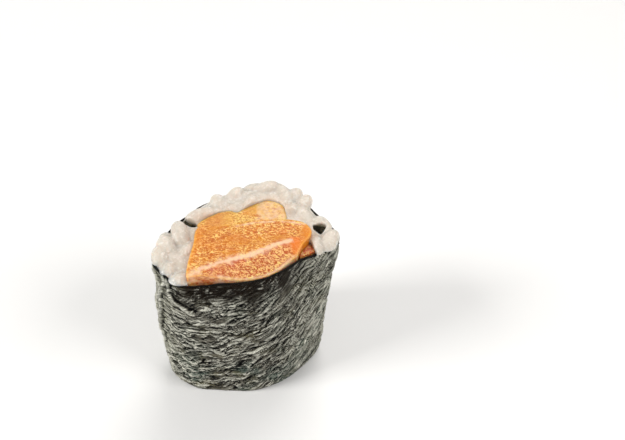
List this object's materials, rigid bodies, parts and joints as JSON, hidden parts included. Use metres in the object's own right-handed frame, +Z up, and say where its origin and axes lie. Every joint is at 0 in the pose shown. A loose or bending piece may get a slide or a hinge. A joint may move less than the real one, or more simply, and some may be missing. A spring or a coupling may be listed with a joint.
{
  "type": "salmon maki roll",
  "caption": "Salmon maki roll standing on its cut end: strips of raw salmon in sticky rice, wrapped in a wrinkled sheet of nori that laps over itself.",
  "frame": {"origin": "middle of the bounding box's bottom face, on the lower cut end that the roll stands on", "axes": "+Z up along the roll, towards the cut face that shows; +X to the rounded end of the widest salmon strip; +Y to the back, where the nori laps over itself"},
  "size_m": [0.031, 0.025, 0.0374],
  "materials": {
    "nori": "thin pressed seaweed, moist and finely wrinkled",
    "rice": "cooked, moist and slightly translucent",
    "salmon_slab": "raw, wet and translucent",
    "salmon_strip": "raw, wet and translucent",
    "salmon_sliver": "raw, wet and translucent"
  },
  "bodies": {
    "root": {"nori": "nori", "rice": "rice", "salmon_slab": "salmon_slab", "salmon_strip": "salmon_strip", "salmon_sliver": "salmon_sliver"}
  },
  "joints": []
}
